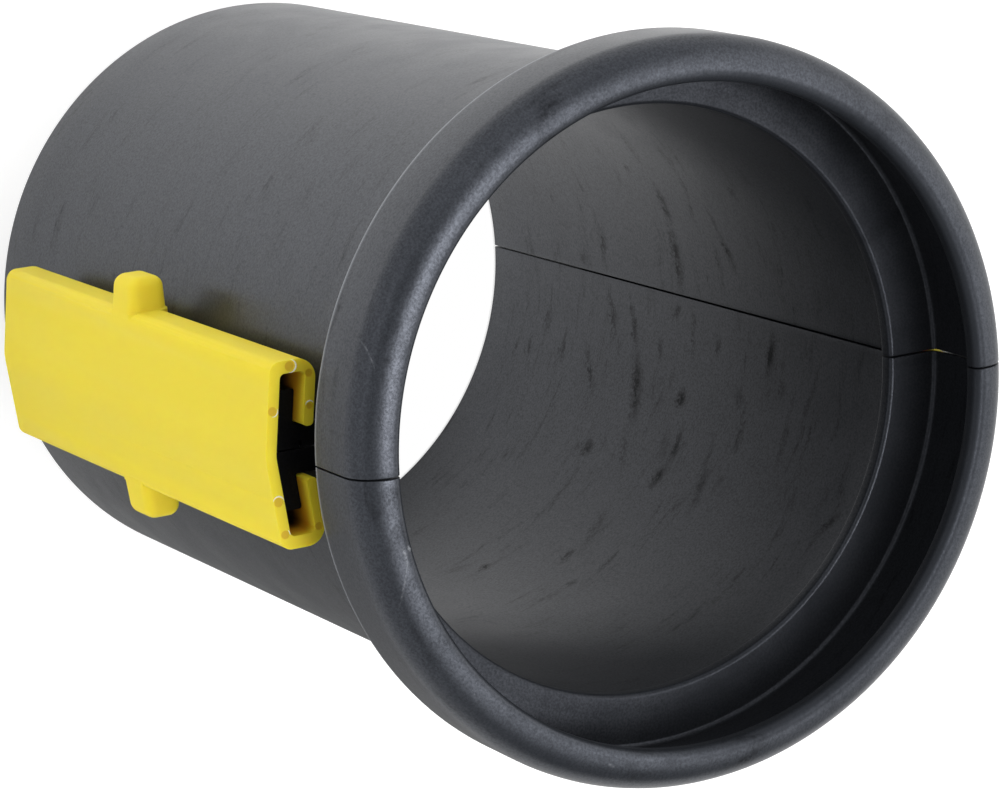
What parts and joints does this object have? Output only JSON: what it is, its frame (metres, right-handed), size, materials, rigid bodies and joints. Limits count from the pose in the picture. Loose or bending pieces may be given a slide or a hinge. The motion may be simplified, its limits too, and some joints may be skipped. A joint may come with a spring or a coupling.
{
  "type": "split pipe adapter",
  "caption": "Divided plastic pipe adapter: matching half shells with a bell mouth at one end and a plain spigot at the other, held shut by slide-on channel clips along the seams.",
  "frame": {"origin": "on the adapter's axis, in the plane of the plain end's face, which is the base it stands on", "axes": "+Z along the axis from the plain end to the bell's mouth; the shells part on the plane x = 0, one on each side; the locking clips are on the -Y side and the +Y side"},
  "size_m": [0.1252, 0.133, 0.1607],
  "materials": {
    "shell_plastic": "black polyethylene, satin, with faint flow streaks, scratches and scuffs",
    "clip_plastic": "yellow moulded plastic, smooth satin"
  },
  "bodies": {
    "root": {"right_half_shell": "shell_plastic", "left_half_shell": "shell_plastic", "front_locking_clip": "clip_plastic", "rear_locking_clip": "clip_plastic"}
  },
  "joints": []
}
